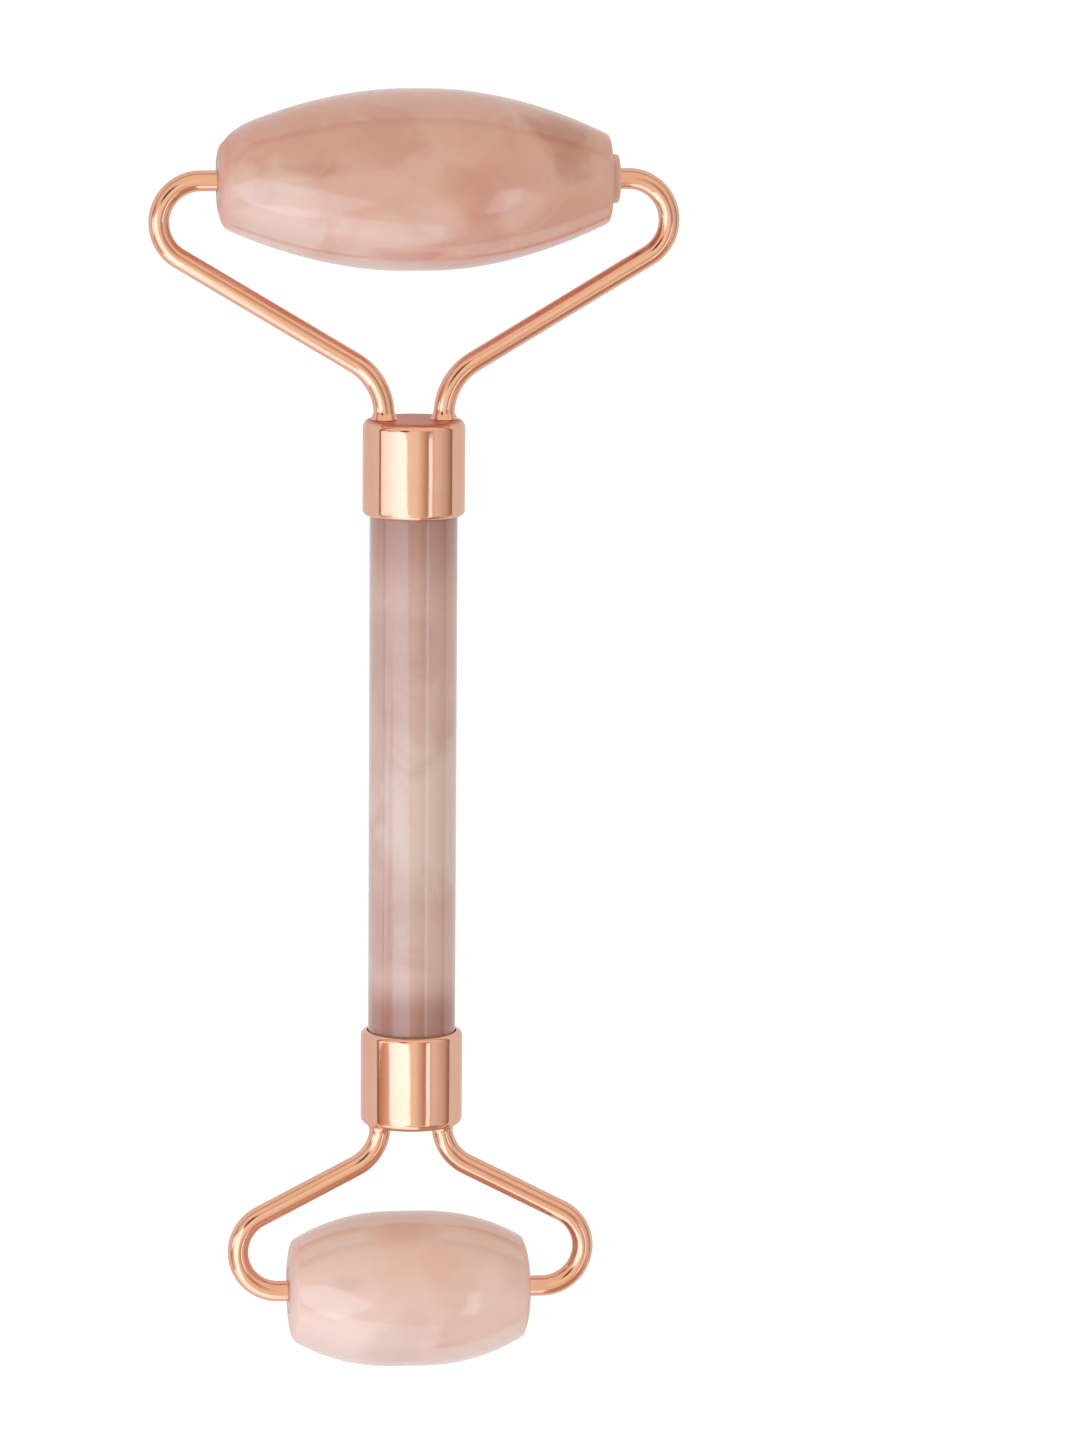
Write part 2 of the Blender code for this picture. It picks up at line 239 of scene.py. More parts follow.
class Nodes:
    """Builds the nodes of a new material, or of the world where that is given as the owner."""

    def __init__(self, name, owner=None):
        self.material = owner or bpy.data.materials.new(name)
        self.material.use_nodes = True
        self.tree = self.material.node_tree
        self.shader = self.tree.nodes.get("Principled BSDF")

    def add(self, kind, inputs=None, **settings):
        """A new node with its inputs, by name or number, and its settings."""
        node = self.tree.nodes.new(kind)
        for key, value in settings.items():
            setattr(node, key, value)
        for key, value in (inputs or {}).items():
            self.feed(node.inputs[key], value)
        return node

    def feed(self, socket, value):
        """Link another node's output to a socket, or give the socket a plain value."""
        if isinstance(value, bpy.types.NodeSocket):
            self.tree.links.new(value, socket)
        else:
            socket.default_value = value

    def place(self, offset=(0.0, 0.0, 0.0), scale=(1.0, 1.0, 1.0)):
        """The point in the piece's own frame, in metres, scaled and moved."""
        coordinates = self.add("ShaderNodeTexCoord").outputs["Object"]
        mapping = self.add("ShaderNodeMapping", {"Vector": coordinates, "Location": offset, "Scale": scale})
        return mapping.outputs["Vector"]

    def noise(self, vector, scale, detail=3.0, rough=0.5, distortion=0.0):
        """Cloudy noise from 0 to 1. The scale is in waves per metre."""
        inputs = {"Vector": vector, "Scale": scale, "Detail": detail}
        inputs.update({"Roughness": rough, "Distortion": distortion})
        return self.add("ShaderNodeTexNoise", inputs).outputs["Fac"]

    def ramp(self, value, low, high, out_low=0.0, out_high=1.0, smooth=True):
        """out_low where the value is low or less, out_high where it is high or more."""
        kind = "SMOOTHSTEP" if smooth else "LINEAR"
        inputs = {"Value": value, "From Min": low, "From Max": high, "To Min": out_low, "To Max": out_high}
        return self.add("ShaderNodeMapRange", inputs, interpolation_type=kind).outputs["Result"]

    def math(self, operation, first, second=0.0):
        node = self.add("ShaderNodeMath", operation=operation)
        self.feed(node.inputs[0], first)
        self.feed(node.inputs[1], second)
        return node.outputs[0]

    def mix(self, factor, first, second):
        """A colour between two colours."""
        node = self.add("ShaderNodeMix", {0: factor}, data_type="RGBA", blend_type="MIX")
        self.feed(node.inputs[6], first)
        self.feed(node.inputs[7], second)
        return node.outputs[2]

    def level(self, factor, first, second):
        """A number between two numbers."""
        return self.add("ShaderNodeMix", {0: factor, 2: first, 3: second}).outputs[0]

    def along(self):
        """The distance along the piece, which is its own X."""
        return self.add("ShaderNodeSeparateXYZ", {"Vector": self.place()}).outputs["X"]

    def patch(self, place, centre, size, strength):
        """A soft round patch with a cloudy outline."""
        away = self.add("ShaderNodeVectorMath", operation="DISTANCE")
        self.feed(away.inputs[0], place)
        self.feed(away.inputs[1], centre)
        speckle = self.noise(place, 150.0, detail=4.0, distortion=0.6)
        cloud = self.ramp(speckle, 0.25, 0.75, -PATCH_CLOUD * size, PATCH_CLOUD * size)
        reach = self.math("ADD", away.outputs["Value"], cloud)
        return self.ramp(reach, PATCH_EDGE * size, PATCH_CORE * size, 0.0, strength)

    def cracks(self, where):
        """Faint healed cracks: the edges of large bent cells, shown only here and there."""
        wobble = self.add("ShaderNodeTexNoise", {"Vector": where, "Scale": 90.0, "Detail": 2.0})
        shrink = self.add("ShaderNodeVectorMath", operation="SCALE")
        self.feed(shrink.inputs[0], wobble.outputs["Color"])
        self.feed(shrink.inputs["Scale"], CRACK_BEND)
        bent = self.add("ShaderNodeVectorMath", operation="ADD")
        self.feed(bent.inputs[0], where)
        self.feed(bent.inputs[1], shrink.outputs[0])
        cell_inputs = {"Vector": bent.outputs[0], "Scale": 70.0}
        cells = self.add("ShaderNodeTexVoronoi", cell_inputs, feature="DISTANCE_TO_EDGE")
        line = self.ramp(cells.outputs["Distance"], 0.0, CRACK_WIDTH, 1.0, 0.0)
        shown = self.ramp(self.noise(where, 40.0), 0.5, 0.7, 0.0, CRACK_STRENGTH)
        return self.math("MULTIPLY", line, shown)

    def bump(self, height, strength, distance, normal=None):
        """A bump of at most the distance, in metres, over the surface or over another bump."""
        node = self.add("ShaderNodeBump", {"Height": height, "Strength": strength, "Distance": distance})
        if normal is not None:
            self.feed(node.inputs["Normal"], normal)
        return node.outputs["Normal"]

    def set(self, **values):
        """Values for the shader's sockets, with _ for each space in a socket's name."""
        for key, value in values.items():
            self.feed(self.shader.inputs[key.replace("_", " ")], value)


def rgb(red, green, blue):
    """A linear colour, opaque."""
    return (red, green, blue, 1.0)


# ---------------------------------------------------------------- materials

def quartz(name, seed, colours, depth, patches=(), end_shade=()):
    """Polished rose quartz: cloudy veils, faint healed cracks, each stone's own patches, of which some on the
    rollers are painted highlights and painted shade, painted shade towards the rod's ends, and end faces that
    are only ground."""
    base, pale, deep = colours
    n = Nodes(name)
    place = n.place()
    where = n.place(offset=(seed, seed * 1.7, seed * 0.6))
    clouds = n.noise(where, 48.0, detail=3.0, rough=0.5, distortion=0.5)
    veils = n.noise(where, 130.0, detail=5.0, rough=0.6, distortion=1.2)
    depths = n.noise(n.place(offset=(seed * 2.3, 0.3, seed)), 75.0, detail=3.0, rough=0.5, distortion=0.8)
    colour = n.mix(n.ramp(clouds, 0.42, 0.70, 0.0, 0.55), base, pale)
    colour = n.mix(n.ramp(veils, 0.52, 0.78, 0.0, 0.35), colour, pale)
    colour = n.mix(n.ramp(depths, 0.56, 0.76, 0.0, 0.45), colour, deep)
    # Patches of other colours; on the rollers some of them are painted highlights and painted shade.
    for centre, size, tint, strength in patches:
        colour = n.mix(n.patch(place, centre, size, strength), colour, tint)
    # Painted shade towards the rod's ends, next to the ferrules.
    for start, stop, tint, strength in end_shade:
        colour = n.mix(n.ramp(n.along(), start, stop, 0.0, strength), colour, tint)
    colour = n.mix(n.cracks(where), colour, pale)
    polish = n.noise(where, 400.0, detail=4.0, rough=0.6)
    waves = n.noise(where, 160.0, detail=1.0)
    normal = n.bump(waves, 0.10, 0.0004)
    normal = n.bump(polish, 0.05, 0.0001, normal)
    outward = n.add("ShaderNodeTexCoord").outputs["Normal"]
    endways = n.math("ABSOLUTE", n.add("ShaderNodeSeparateXYZ", {"Vector": outward}).outputs["X"])
    ground = n.ramp(endways, 0.50, 0.75)
    wax = n.math("MULTIPLY", n.ramp(ground, 1.0, 0.0, smooth=False), QUARTZ_WAX)
    rough = n.level(ground, n.ramp(polish, 0.3, 0.7, 0.11, 0.18), GROUND_ROUGHNESS)
    n.set(Base_Color=colour, Roughness=rough, Normal=normal)
    n.set(IOR=1.54, Subsurface_Weight=0.6, Subsurface_Radius=(1.0, 0.6, 0.5), Subsurface_Scale=depth)
    n.set(Coat_Weight=wax, Coat_Roughness=0.055)
    return n.material


def rose_gold(name, seed, face=None):
    """Mirror-polished rose-gold plating, with faint smears and hairline scratches. A ferrule's closed face,
    given by its distance along the piece, is duller and has painted shade on it: darker and redder, standing
    for its reflection of the shaded floor close under it."""
    n = Nodes(name)
    where = n.place(offset=(seed, seed, seed))
    smear = n.noise(where, 260.0, detail=4.0, rough=0.6, distortion=0.4)
    colour = n.mix(n.ramp(smear, 0.3, 0.75), GOLD_BRIGHT, GOLD_DEEP)
    rough = n.ramp(smear, 0.3, 0.8, 0.08, 0.14)
    if face:
        # The closed face: rougher, and painted darker and redder in brushed streaks, as painted shade for the
        # shaded floor that it reflects.
        dull_and_shaded = n.ramp(n.along(), face - 0.30 * MM, face - 0.02 * MM)
        brush = n.noise(n.place(scale=(1.0, 1.0, 12.0)), 500.0, detail=3.0)
        face_shade = n.mix(n.ramp(brush, 0.3, 0.7), FACE_SHADE_PALE, FACE_SHADE_DEEP)
        colour = n.mix(dull_and_shaded, colour, face_shade)
        rough = n.level(dull_and_shaded, rough, FACE_ROUGHNESS)
    hairs = n.noise(n.place(offset=(seed, 0.0, 0.0), scale=(1.0, 14.0, 1.0)), 900.0, detail=3.0)
    waves = n.noise(where, 220.0, detail=1.0)
    normal = n.bump(waves, 0.05, 0.0003)
    normal = n.bump(hairs, 0.02, 0.00004, normal)
    n.set(Base_Color=colour, Metallic=1.0, Roughness=rough, Normal=normal)
    return n.material


def nylon(name):
    """Nylon that picks up the warm colour of the wire inside it."""
    n = Nodes(name)
    where = n.place()
    mottle = n.noise(where, 500.0, detail=3.0)
    colour = n.mix(n.ramp(mottle, 0.35, 0.7), NYLON_WARM, NYLON_PALE)
    normal = n.bump(mottle, 0.08, 0.00005)
    n.set(Base_Color=colour, Roughness=n.ramp(mottle, 0.3, 0.7, 0.32, 0.45), Normal=normal)
    n.set(Subsurface_Weight=0.5, Subsurface_Radius=(1.0, 0.6, 0.4), Subsurface_Scale=0.002)
    return n.material


def epoxy(name):
    """Set clear adhesive with small bubbles, hidden in the ferrules."""
    n = Nodes(name)
    bubbles = n.add("ShaderNodeTexVoronoi", {"Vector": n.place(), "Scale": 900.0}).outputs["Distance"]
    colour = n.mix(n.ramp(bubbles, 0.1, 0.4), GLUE_PALE, GLUE_AMBER)
    rough = n.ramp(bubbles, 0.1, 0.5, 0.2, 0.4)
    n.set(Base_Color=colour, Roughness=rough, Normal=n.bump(bubbles, 0.2, 0.0001))
    n.set(IOR=1.5, Subsurface_Weight=0.3, Subsurface_Scale=0.002)
    return n.material


# How much of a clear coat the polished stones have, and the roughness of their ground ends and of a ferrule's
# closed face.
QUARTZ_WAX = 0.9
GROUND_ROUGHNESS = 0.55
FACE_ROUGHNESS = 0.35
# A patch is whole out to its core and gone at its edge, and clouds move both, all as shares of its radius.
PATCH_CORE = 0.45
PATCH_EDGE = 1.35
PATCH_CLOUD = 0.5
# How far the cracks wander, in metres, how wide they are, as a share of a cell, and how pale.
CRACK_BEND = 0.012
CRACK_WIDTH = 0.035
CRACK_STRENGTH = 0.3

# Linear colours. Each stone has its main colour, its pale veils and its deeper clouds.
LARGE_QUARTZ = (rgb(0.69, 0.39, 0.33), rgb(0.76, 0.54, 0.48), rgb(0.60, 0.31, 0.25))
SMALL_QUARTZ = (rgb(0.785, 0.57, 0.52), rgb(0.83, 0.65, 0.60), rgb(0.73, 0.47, 0.41))
ROD_QUARTZ = (rgb(0.59, 0.405, 0.37), rgb(0.68, 0.52, 0.48), rgb(0.54, 0.34, 0.31))
# The colour of the painted shade at the rod's ends.
ROD_END_SHADE = rgb(0.41, 0.205, 0.175)
GOLD_BRIGHT = rgb(0.88, 0.51, 0.38)
GOLD_DEEP = rgb(0.85, 0.48, 0.35)
# The painted shade on a ferrule's closed face, in its paler and deeper streaks.
FACE_SHADE_PALE = rgb(0.64, 0.19, 0.115)
FACE_SHADE_DEEP = rgb(0.57, 0.16, 0.09)
NYLON_WARM = rgb(0.70, 0.47, 0.40)
NYLON_PALE = rgb(0.76, 0.56, 0.49)
GLUE_PALE = rgb(0.80, 0.74, 0.62)
GLUE_AMBER = rgb(0.70, 0.60, 0.45)

# How deep light reaches into the stones.
ROLLER_DEPTH = 2.0 * MM
ROD_DEPTH = 4.0 * MM

# Each patch: centre in the stone's own frame, radius, colour, strength.
LARGE_PATCHES_AND_PAINTED_LIGHT = (
    # Deeper stone at the upper right, partly painted shade.
    ((16.0 * MM, 6.0 * MM, 6.0 * MM), 4.5 * MM, rgb(0.50, 0.23, 0.17), 0.8),
    ((-9.0 * MM, 4.0 * MM, 8.0 * MM), 7.0 * MM, rgb(0.66, 0.37, 0.30), 0.5),
    ((-11.8 * MM, 2.2 * MM, 8.5 * MM), 2.0 * MM, rgb(0.60, 0.31, 0.245), 0.5),
    ((3.0 * MM, 0.5 * MM, 10.0 * MM), 2.0 * MM, rgb(0.62, 0.33, 0.265), 0.4),
    ((-4.0 * MM, 6.0 * MM, 8.0 * MM), 4.0 * MM, rgb(0.62, 0.33, 0.275), 0.6),
    ((6.2 * MM, -1.7 * MM, 9.5 * MM), 2.2 * MM, rgb(0.62, 0.32, 0.255), 0.5),
    # These four pale patches on the stone's front side lie where the softboxes' highlights fall: paler stone
    # and partly a painted highlight.
    ((1.7 * MM, -3.9 * MM, 9.0 * MM), 2.6 * MM, rgb(0.79, 0.62, 0.56), 0.4),
    ((11.0 * MM, -3.0 * MM, 8.0 * MM), 2.4 * MM, rgb(0.77, 0.58, 0.52), 0.5),
    ((-16.0 * MM, -4.0 * MM, 6.0 * MM), 7.0 * MM, rgb(0.78, 0.63, 0.58), 0.6),
    ((-4.0 * MM, -8.0 * MM, 5.0 * MM), 7.0 * MM, rgb(0.76, 0.55, 0.50), 0.5),
)
SMALL_PATCHES_AND_PAINTED_LIGHT = (
    ((3.4 * MM, 4.8 * MM, 7.0 * MM), 2.6 * MM, rgb(0.76, 0.44, 0.37), 0.45),
    ((-1.0 * MM, 6.5 * MM, 6.0 * MM), 4.0 * MM, rgb(0.81, 0.52, 0.44), 0.4),
    # These two pale patches lie where the softboxes' highlights fall: paler stone and partly a painted
    # highlight.
    ((9.5 * MM, -1.5 * MM, 7.0 * MM), 4.5 * MM, rgb(0.84, 0.66, 0.61), 0.5),
    ((-7.0 * MM, -3.5 * MM, 7.0 * MM), 5.0 * MM, rgb(0.82, 0.70, 0.65), 0.3),
    # Painted shade along the stone's lower front side.
    ((0.0, -7.5 * MM, 4.0 * MM), 6.0 * MM, rgb(0.65, 0.45, 0.39), 0.55),
)
ROD_PATCHES = (
    ((-4.5 * MM, -4.5 * MM, 2.5 * MM), 10.0 * MM, rgb(0.70, 0.58, 0.54), 0.8),
    ((-15.0 * MM, 0.5 * MM, 5.0 * MM), 4.0 * MM, rgb(0.66, 0.53, 0.49), 0.3),
    ((13.0 * MM, 4.2 * MM, 2.8 * MM), 7.0 * MM, rgb(0.48, 0.29, 0.26), 0.45),
    ((-16.5 * MM, 4.2 * MM, 2.8 * MM), 6.0 * MM, rgb(0.48, 0.29, 0.26), 0.45),
)
# Each end of the rod with painted shade, next to its ferrule: where the shade starts and is full, its colour
# and its strength.
ROD_END_SHADES = (
    (19.0 * MM, 29.0 * MM, ROD_END_SHADE, 0.9),
    (-22.5 * MM, -27.5 * MM, ROD_END_SHADE, 1.0),
)


# ---------------------------------------------------------------- pieces

# Edges sharper than this angle aren't smoothed, and a point nearer than this to the axis is on it.
SHARP_ANGLE = math.radians(32.0)
ON_AXIS = 1e-7
# The largest turn between two points of a rounded edge, and of a wire's bend.
ARC_STEP = math.radians(6.0)
BEND_STEP = math.radians(3.0)
ROD_SIDES = 96
FERRULE_SIDES = 144
HOLE_SIDES = 48
WIRE_SIDES = 40
STONE_SIDES = 160
SLEEVE_SIDES = 72
# The longest steps along an outline or a wire's centreline.
HANDLE_PITCH = 1.0 * MM
ROLLER_PITCH = 0.5 * MM
WIRE_PITCH = 0.3 * MM
TAIL_PITCH = 0.8 * MM
# Radii of the rounded edges.
ROD_EDGE = 0.4 * MM
MOUTH_INNER_EDGE = 0.08 * MM
MOUTH_OUTER_EDGE = 0.6 * MM
CLOSED_EDGE = 0.9 * MM
SLEEVE_INNER_EDGE = 0.2 * MM
SLEEVE_HEAD_EDGE = 0.25 * MM
SLEEVE_FLUSH_EDGE = 0.12 * MM
# A sleeve that stands at least this far out of its stone has a head, which starts just clear of the stone.
SLEEVE_PROUD = 0.3 * MM
SLEEVE_HEAD_GAP = 0.1 * MM
# Half the length of a stone's level middle, and the rings of points on its domed ends and its body.
LEVEL_BAND = 1.5 * MM
DOME_RINGS = 8
BODY_RINGS = 60
# How far hand polishing and grinding leave the rod and the stones from true, how often along them in waves
# per metre, and how much around them.
ROD_WAVES = (0.02 * MM, 60.0, 0.6)
STONE_WAVES = (0.03 * MM, 90.0, 0.8)
# How much of a stone's length the wear at its left rim takes up.
WEAR_LENGTH = 3.0 * MM


def hand_waves(waves, x, angle):
    """How far the surface is below its true shape at a place along and around it."""
    depth, along, around = waves
    spot = Vector((x * along, math.cos(angle) * around, math.sin(angle) * around))
    return depth * (1.0 + noise.noise(spot))


def hand_name(hand):
    """The side that a hand of 1 or -1 stands for."""
    return "right" if hand > 0 else "left"


def make_rod(material):
    """The stone rod of the handle, with softened ends inside the ferrules."""
    near, far = handle_reach("handle_rod", 1)
    half = (far - near) / 2
    corners = [(-half, 0.0), (-half, ROD_RADIUS), (half, ROD_RADIUS), (half, 0.0)]
    outline = spaced(rounded(corners, (ROD_EDGE, ROD_EDGE), ARC_STEP), HANDLE_PITCH)

    def hand_polish(x, radius, angle):
        return -hand_waves(ROD_WAVES, x, angle)

    bm = turned(outline, ROD_SIDES, False, hand_polish)
    quarter_turn = HANDLE @ Matrix.Rotation(math.pi / 2, 4, "Z")
    piece("handle_stone", bm, quarter_turn, "handle", "handle_rod", material)


def make_ferrule(name, end, material):
    """A metal cup turned to its outline, with a hole drilled through its closed face for each arm."""
    mouth, closed = handle_reach(f"{name}_ferrule", end["side"])
    corners = [
        (closed - FERRULE_FLOOR, 0.0),
        (closed - FERRULE_FLOOR, FERRULE_BORE),
        (mouth, FERRULE_BORE),
        (mouth, FERRULE_RADIUS),
        (closed, FERRULE_RADIUS),
        (closed, 0.0),
    ]
    radii = (0.0, MOUTH_INNER_EDGE, MOUTH_OUTER_EDGE, CLOSED_EDGE)
    outline = spaced(rounded(corners, radii, ARC_STEP), HANDLE_PITCH)
    bm = turned(outline, FERRULE_SIDES, False)
    way = HANDLE @ Matrix.Rotation(end["side"] * math.pi / 2, 4, "Z")
    cup = piece(f"{name}_cup", bm, way, "handle", f"{name}_ferrule", material)
    drill = bmesh.new()
    for hand in (-1, 1):
        spot = Matrix.Translation((closed - FERRULE_FLOOR / 2, hand * end["tail_offset"], 0.0))
        matrix = spot @ Matrix.Rotation(math.pi / 2, 4, "Y")
        bmesh.ops.create_cone(
            drill,
            cap_ends=True,
            segments=HOLE_SIDES,
            radius1=HOLE_RADIUS,
            radius2=HOLE_RADIUS,
            depth=FERRULE_FLOOR * 2,
            matrix=matrix,
        )
    cutter = add_object("drill", drill)
    cutter.matrix_world = way
    cut = cup.modifiers.new("holes", "BOOLEAN")
    cut.operation = "DIFFERENCE"
    cut.solver = "EXACT"
    cut.object = cutter
    bpy.context.view_layer.update()
    solved = bpy.data.meshes.new_from_object(cup.evaluated_get(bpy.context.evaluated_depsgraph_get()))
    cup.modifiers.clear()
    cup.data = solved
    bpy.data.objects.remove(cutter)


def arm_path(name, end, hand):
    """An arm's centreline outside and inside its ferrule, in the handle's frame, and the face it crosses."""
    roller = end["roller"]
    low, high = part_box(f"{roller}_roller")
    left_dome, right_dome = end["domes"]
    stone_end = high.x - right_dome if hand > 0 else -low.x - left_dome
    axle = abs((TO_HANDLE @ axle_place(roller)).y)
    closed = handle_reach(f"{name}_ferrule", end["side"])[1]
    corner = Vector((end["tail_offset"], closed + end["shoulder"]))
    far = Vector((corner.x + (axle - corner.y) / math.tan(end["rise"]), axle))
    tip = Vector((stone_end - PIN_DEPTH, axle))
    seat = Vector((end["tail_offset"], closed + FILLET_GAP))
    tail = Vector((end["tail_offset"], closed - TAIL_LENGTH))
    outside = rounded([tip, far, corner, seat], (end["outer_bend"], end["inner_bend"]), BEND_STEP)
    return spaced(outside, WIRE_PITCH), spaced([seat, tail], TAIL_PITCH), closed


def make_arm(name, end, hand, material):
    """A bent round wire, with a braze fillet where it stands on its ferrule."""
    outside, inside, closed = arm_path(name, end, hand)
    flares = [FILLET_FLARE * max(1.0 - (point.y - closed) / FILLET_HEIGHT, 0.0) ** 2 for point in outside]
    polished = WIRE_RADIUS - WIRE_POLISH
    radii = [polished + flare for flare in flares] + [polished] * len(inside)
    path = [Vector((hand * point.x, end["side"] * point.y)) for point in outside + inside]
    rings = []
    for index, (point, radius) in enumerate(zip(path, radii)):
        along = (path[min(index + 1, len(path) - 1)] - path[max(index - 1, 0)]).normalized()
        across = Vector((-along.y, along.x, 0.0))
        ring = []
        for number in range(WIRE_SIDES):
            angle = 2 * math.pi * number / WIRE_SIDES
            lift = Vector((0.0, 0.0, radius * math.sin(angle)))
            ring.append(point.to_3d() + across * radius * math.cos(angle) + lift)
        rings.append(ring)
    arm = f"{name}_{hand_name(hand)}"
    piece(f"{arm}_wire", skin(rings, False, True), HANDLE, "handle", f"{arm}_arm", material)


def make_stone(end, material):
    """A barrel turned from the stone, a little uneven from grinding and polishing by hand."""
    roller = end["roller"]
    node = f"{roller}_roller"
    low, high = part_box(node)
    axle = axle_place(roller)
    left_dome, right_dome = end["domes"]
    middle = (low.x + left_dome + high.x - right_dome) / 2
    half = (high.x - low.x - left_dome - right_dome) / 2
    radius = (high.z - low.z) / 2

    def barrel(x):
        end_radius = end["end_radii"][x > 0.0]
        reach = max(abs(x) - LEVEL_BAND, 0.0) / (half - LEVEL_BAND)
        return radius - (radius - end_radius) * reach ** end["power"]

    def end_face(hand):
        """The domed face, from the bore to where the rim's rounding starts."""
        dome = end["domes"][hand > 0]
        rim = end["end_radii"][hand > 0]
        reach = 1.0 - end["edges"][hand > 0] / (rim - BORE_RADIUS)
        face = []
        for index in range(DOME_RINGS + 1):
            share = reach * index / DOME_RINGS
            face.append((hand * (half + dome * (1.0 - share**2)), BORE_RADIUS + (rim - BORE_RADIUS) * share))
        return face

    left_edge, right_edge = end["edges"]
    left_rim, right_rim = end["end_radii"]
    length = 2 * half - left_edge - right_edge
    body = [-half + left_edge + length * index / BODY_RINGS for index in range(BODY_RINGS + 1)]
    left_face = end_face(-1)
    right_face = end_face(1)
    corners = left_face + [(-half, left_rim)] + [(x, barrel(x)) for x in body] + [(half, right_rim)]
    corners += right_face[::-1]
    radii = [0.0] * (len(corners) - 2)
    radii[len(left_face) - 1] = left_edge
    radii[-len(right_face)] = right_edge
    outline = spaced(rounded(corners, radii, ARC_STEP), ROLLER_PITCH)

    def hand_ground(x, at_radius, angle):
        outward = min(1.0, (at_radius - BORE_RADIUS) / (left_rim - BORE_RADIUS))
        waves = hand_waves(STONE_WAVES, x, angle)
        wear = min(1.0, max(0.0, (-x - half + WEAR_LENGTH) / WEAR_LENGTH)) ** 2
        towards_back = 0.5 + 0.5 * math.cos(angle)
        return -outward**2 * (waves + end["wear"] * wear * towards_back)

    bm = turned(outline, STONE_SIDES, True, hand_ground)
    matrix = Matrix.Translation(Vector((middle, axle.y, axle.z)))
    piece(f"{roller}_stone", bm, matrix, node, node, material)


def make_sleeve(end, hand, material):
    """A bearing sleeve, with a head where it stands proud of its stone."""
    roller = end["roller"]
    node = f"{roller}_{hand_name(hand)}_bush"
    low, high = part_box(node)
    stone_low, stone_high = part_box(f"{roller}_roller")
    axle = axle_place(roller)
    face = stone_high.x if hand > 0 else -stone_low.x
    outer = (high.x if hand > 0 else -low.x) - face
    corners = [(-SLEEVE_LENGTH, SLEEVE_BORE), (-SLEEVE_LENGTH, SLEEVE_RADIUS)]
    radii = [SLEEVE_INNER_EDGE]
    if outer > SLEEVE_PROUD:
        corners += [(SLEEVE_HEAD_GAP, SLEEVE_RADIUS), (SLEEVE_HEAD_GAP, SLEEVE_HEAD_RADIUS)]
        corners += [(outer, SLEEVE_HEAD_RADIUS), (outer, SLEEVE_BORE)]
        radii += [0.0, 0.0, SLEEVE_HEAD_EDGE]
    else:
        corners += [(outer - SLEEVE_RECESS, SLEEVE_RADIUS), (outer - SLEEVE_RECESS, SLEEVE_BORE)]
        radii += [SLEEVE_FLUSH_EDGE]
    outline = spaced(rounded(corners, radii, ARC_STEP), ROLLER_PITCH)
    bm = turned(outline, SLEEVE_SIDES, True)
    way = Matrix.Translation(Vector((hand * face, axle.y, axle.z)))
    if hand < 0:
        way = way @ Matrix.Rotation(math.pi, 4, "Z")
    sleeve = f"{roller}_{hand_name(hand)}_sleeve"
    piece(sleeve, bm, way, f"{roller}_roller", node, material)


def carry_over(node, material):
    """A CAD node that stays, with a better material."""
    obj = frame["nodes"][node]
    obj.data.materials.clear()
    obj.data.materials.append(material)


# ---------------------------------------------------------------- stage

CAMERA_YAW = math.radians(7.0)
CAMERA_PITCH = math.radians(9.3)
CAMERA_ROLL = math.radians(0.38)
CAMERA_DISTANCE = 0.9667
CAMERA_AIM = Vector((14.55 * MM, 5.94 * MM, 0.0))
CAMERA_LENS = 212.5
CAMERA_NEAR = 0.01

# The softboxes: name, one top corner, the way along the top edge, the way down, width and height, radiance.
COOL = (0.62, 0.80, 1.0)
LEFT_CORNER = Vector((-0.200, -0.035, 0.500))
LEFT_ACROSS = Vector((0.736, -0.677, 0.0))
LEFT_DOWN = Vector((-0.369, -0.400, -0.839))
SIDE_CORNER = LEFT_CORNER - LEFT_ACROSS * 0.43 + LEFT_DOWN * 0.31
PANELS = (
    ("left_box_top", LEFT_CORNER - LEFT_ACROSS * 0.26, LEFT_ACROSS, LEFT_DOWN, (0.45, 0.31), 1.2),
    ("left_box_side", SIDE_CORNER, LEFT_ACROSS, LEFT_DOWN, (0.28, 0.215), 1.2),
    ("front_box", (-0.335, -0.303, 0.45), (0.447, -0.149, -0.062), (0.05, -0.1, -1.0), (0.47, 0.43), 0.95),
    ("right_strip", (0.31, -0.04, 0.60), (1.0, 0.0, 0.0), (0.0, -1.0, 0.0), (0.12, 0.42), 1.3),
    ("back_strip", (-0.28, 0.20, 0.50), (1.0, 0.0, 0.0), (0.0, 1.0, 0.0), (0.17, 0.17), 1.1),
)

WORLD_REACH = 120.0
# Degrees from straight up, negative towards -X, and the colour there.
WORLD_BAND = (
    (-120.0, (0.16, 0.10, 0.07)),
    (-88.0, (0.16, 0.10, 0.07)),
    (-84.0, (0.46, 0.28, 0.16)),
    (-60.0, (0.88, 0.66, 0.55)),
    (-40.0, (0.95, 0.88, 0.80)),
    (-15.0, (1.00, 1.00, 0.86)),
    (3.0, (0.98, 0.95, 0.78)),
    (22.0, (0.54, 0.39, 0.28)),
    (26.0, (0.45, 0.33, 0.24)),
    (44.0, (0.85, 0.85, 0.80)),
    (60.0, (0.74, 0.70, 0.66)),
    (75.0, (0.60, 0.53, 0.46)),
    (85.0, (0.36, 0.29, 0.23)),
    (90.0, (0.20, 0.15, 0.12)),
)
# The walls before and behind the band, and their dark foot. FOOT_FADE is between which heights the foot fades
# into the wall, and BAND_FADE between which places before or behind the middle the band does, both as
# components of the direction.
WALL = rgb(0.95, 0.83, 0.67)
WALL_FOOT = rgb(0.45, 0.29, 0.21)
FOOT_FADE = (0.04, 0.30)
BAND_FADE = (0.22, 0.50)
